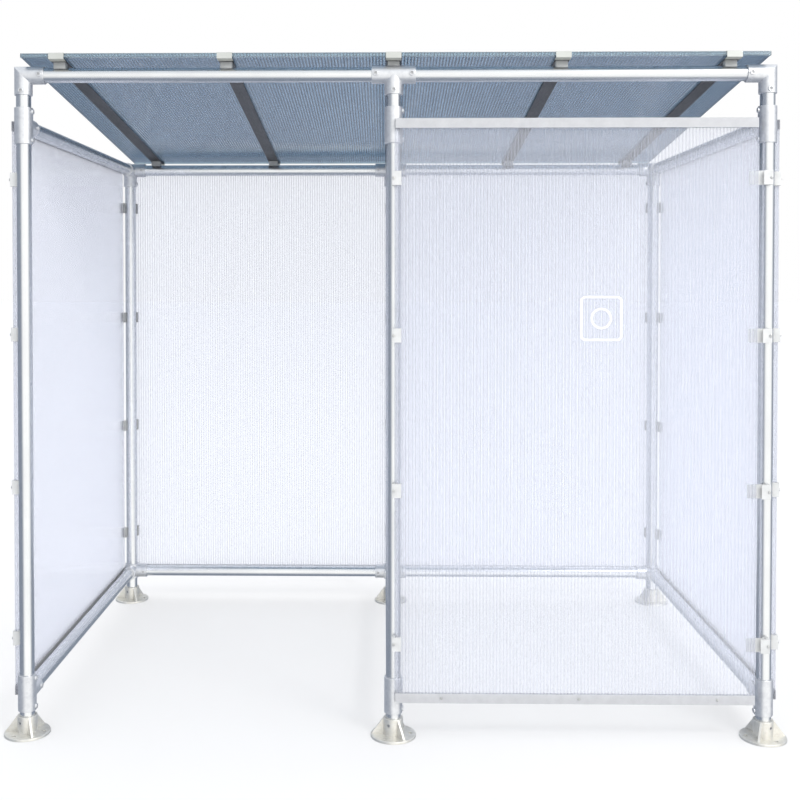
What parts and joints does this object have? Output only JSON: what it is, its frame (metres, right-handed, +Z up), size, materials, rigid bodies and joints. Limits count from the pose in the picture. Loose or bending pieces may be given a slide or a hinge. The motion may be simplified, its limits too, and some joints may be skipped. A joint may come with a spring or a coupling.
{
  "type": "tube-frame shelter",
  "caption": "Free-standing open-fronted shelter: round tube frame in clamp fittings on bolt-down feet, twin-wall sheet walls and a sloping tinted roof.",
  "frame": {"origin": "on the ground, under the middle of the frame: the bottom centre of the bounding box", "axes": "+X to the right along the front, +Y from the front to the back, +Z up"},
  "size_m": [2.59, 1.65, 2.2495],
  "materials": {
    "frame_tube": "bright drawn tube",
    "cast_fitting": "satin as-cast",
    "cast_foot": "warm grey as-cast",
    "set_screw": "zinc plated",
    "small_screw": "zinc plated",
    "clear_sheet": "clear twin-wall, fluted",
    "tinted_sheet": "blue-grey twin-wall, fluted",
    "edge_profile": "clear extruded profile",
    "white_plastic": "moulded",
    "bent_strip": "off-white gloss",
    "roof_bar": "dark grey satin",
    "sign_film": "adhesive film"
  },
  "bodies": {
    "root": {"centre_bottom_rail": "frame_tube", "centre_top_rail": "frame_tube", "front_centre_foot": "cast_foot", "front_centre_lower_tee": "cast_fitting", "front_centre_post": "frame_tube", "front_centre_top_tee": "cast_fitting", "front_centre_upper_tee": "cast_fitting", "front_left_elbow": "cast_fitting", "front_left_foot": "cast_foot", "front_left_lower_tee": "cast_fitting", "front_left_post": "frame_tube", "front_left_upper_tee": "cast_fitting", "front_panel_sign": "sign_film", "front_right_elbow": "cast_fitting", "front_right_foot": "cast_foot", "front_right_lower_tee": "cast_fitting", "front_right_post": "frame_tube", "front_right_upper_tee": "cast_fitting", "front_top_rail_left": "frame_tube", "front_top_rail_right": "frame_tube", "front_wall_panel": "clear_sheet", "left_wall_panel": "clear_sheet", "panel_clips": "white_plastic", "panel_screws": "small_screw", "rear_bottom_rail_left": "frame_tube", "rear_bottom_rail_right": "frame_tube", "rear_centre_bottom_tee": "cast_fitting", "rear_centre_foot": "cast_foot", "rear_centre_post": "frame_tube", "rear_centre_top_tee": "cast_fitting", "rear_left_bottom_corner": "cast_fitting", "rear_left_foot": "cast_foot", "rear_left_post": "frame_tube", "rear_left_top_corner": "cast_fitting", "rear_left_wall_panel": "clear_sheet", "rear_right_bottom_corner": "cast_fitting", "rear_right_foot": "cast_foot", "rear_right_post": "frame_tube", "rear_right_top_corner": "cast_fitting", "rear_right_wall_panel": "clear_sheet", "rear_top_rail_left": "frame_tube", "rear_top_rail_right": "frame_tube", "right_wall_panel": "clear_sheet", "roof_bar_1": "roof_bar", "roof_bar_2": "roof_bar", "roof_bar_3": "roof_bar", "roof_bar_4": "roof_bar", "roof_bar_5": "roof_bar", "roof_bar_saddles": "white_plastic", "roof_edge_trims": "edge_profile", "roof_end_clips": "bent_strip", "roof_screws": "small_screw", "roof_sheet": "tinted_sheet", "set_screws": "set_screw", "side_bottom_rail_left": "frame_tube", "side_bottom_rail_right": "frame_tube", "side_top_rail_left": "frame_tube", "side_top_rail_right": "frame_tube", "wall_panel_trims": "edge_profile"}
  },
  "joints": []
}
